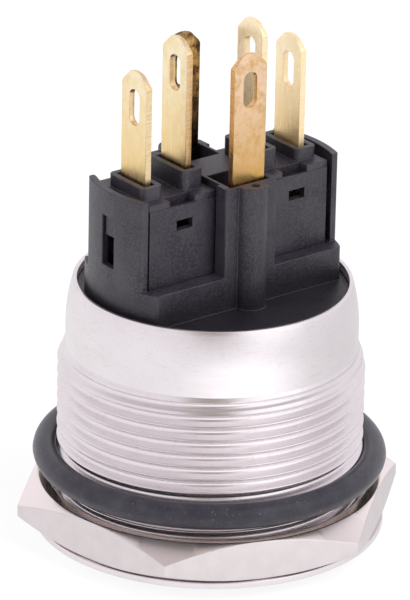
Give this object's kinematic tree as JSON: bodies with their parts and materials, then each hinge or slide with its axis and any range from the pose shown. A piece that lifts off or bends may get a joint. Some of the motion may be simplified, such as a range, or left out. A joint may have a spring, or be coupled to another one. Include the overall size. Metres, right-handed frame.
{
  "type": "anti vandal push button",
  "caption": "Round steel panel push button with a threaded barrel, hex nut, rubber ring and a black rear housing with brass solder blades.",
  "frame": {"origin": "centre of the bezel's front face, which stands on the surface", "axes": "+Z runs back along the barrel to the solder blades; X is the row of the four contact blades; the panels with the small windows face -Y"},
  "size_m": [0.0268, 0.0282, 0.0383],
  "materials": {
    "steel": "fine turned",
    "nut_steel": "satin machined",
    "cap_steel": "circular brushed",
    "spring_steel": "drawn wire",
    "rubber": "matt with a faint sheen",
    "black_moulding": "fine moulded grain",
    "white_moulding": "smooth moulded",
    "lens": "frosted clear moulding",
    "board": "lacquered board",
    "lamp_body": "moulded chip",
    "brass": "stamped, lightly tarnished",
    "brass_dark": "stamped, darker",
    "brass_inner": "stamped"
  },
  "bodies": {
    "barrel": {"barrel": "steel", "ring_lens": "lens", "led_board": "board", "led_1": "lamp_body", "led_2": "lamp_body", "led_3": "lamp_body", "led_4": "lamp_body", "led_resistor": "lamp_body", "guide_bush": "black_moulding", "stem_seal": "rubber", "seal_washer": "brass_inner", "return_spring": "spring_steel", "rear_housing": "black_moulding", "left_module_case": "black_moulding", "right_module_case": "black_moulding", "left_module_spring": "spring_steel", "right_module_spring": "spring_steel", "left_inner_terminal": "brass", "left_outer_terminal": "brass", "right_inner_terminal": "brass", "right_outer_terminal": "brass", "front_led_terminal": "brass", "rear_led_terminal": "brass_dark"},
    "button": {"button_cap": "cap_steel", "retaining_clip": "spring_steel", "cross_bar": "white_moulding"},
    "left_contact": {"left_module_plunger": "white_moulding", "left_contact_bridge": "brass_inner"},
    "right_contact": {"right_module_plunger": "white_moulding", "right_contact_bridge": "brass_inner"},
    "ring": {"panel_o_ring": "rubber"},
    "nut": {"hex_nut": "nut_steel"}
  },
  "joints": [
    {"name": "button_press", "type": "slide", "parent": "barrel", "child": "button", "axis": [0, 0, 1], "range_m": [0, 0.0016], "stiffness_N_per_m": 1500, "springref_m": -0.0015, "deforming": ["return_spring"]},
    {"name": "left_plunger_press", "type": "slide", "parent": "barrel", "child": "left_contact", "axis": [0, 0, 1], "range_m": [0, 0.0016], "deforming": ["left_module_spring"]},
    {"name": "right_plunger_press", "type": "slide", "parent": "barrel", "child": "right_contact", "axis": [0, 0, 1], "range_m": [0, 0.0016], "deforming": ["right_module_spring"]},
    {"name": "nut_travel", "type": "slide", "parent": "barrel", "child": "ring", "axis": [0, 0, 1], "range_m": [0, 0.00601]},
    {"name": "nut_turn", "type": "hinge", "parent": "ring", "child": "nut", "pos_m": [0, 0, 0.003], "axis": [0, 0, 1], "range_deg": [0, 2160]}
  ],
  "couplings": [
    {"joint": "left_plunger_press", "follows": "button_press", "ratio": 1},
    {"joint": "right_plunger_press", "follows": "button_press", "ratio": 1},
    {"joint": "nut_travel", "follows": "nut_turn", "m_per_rad": 0.00015915}
  ]
}
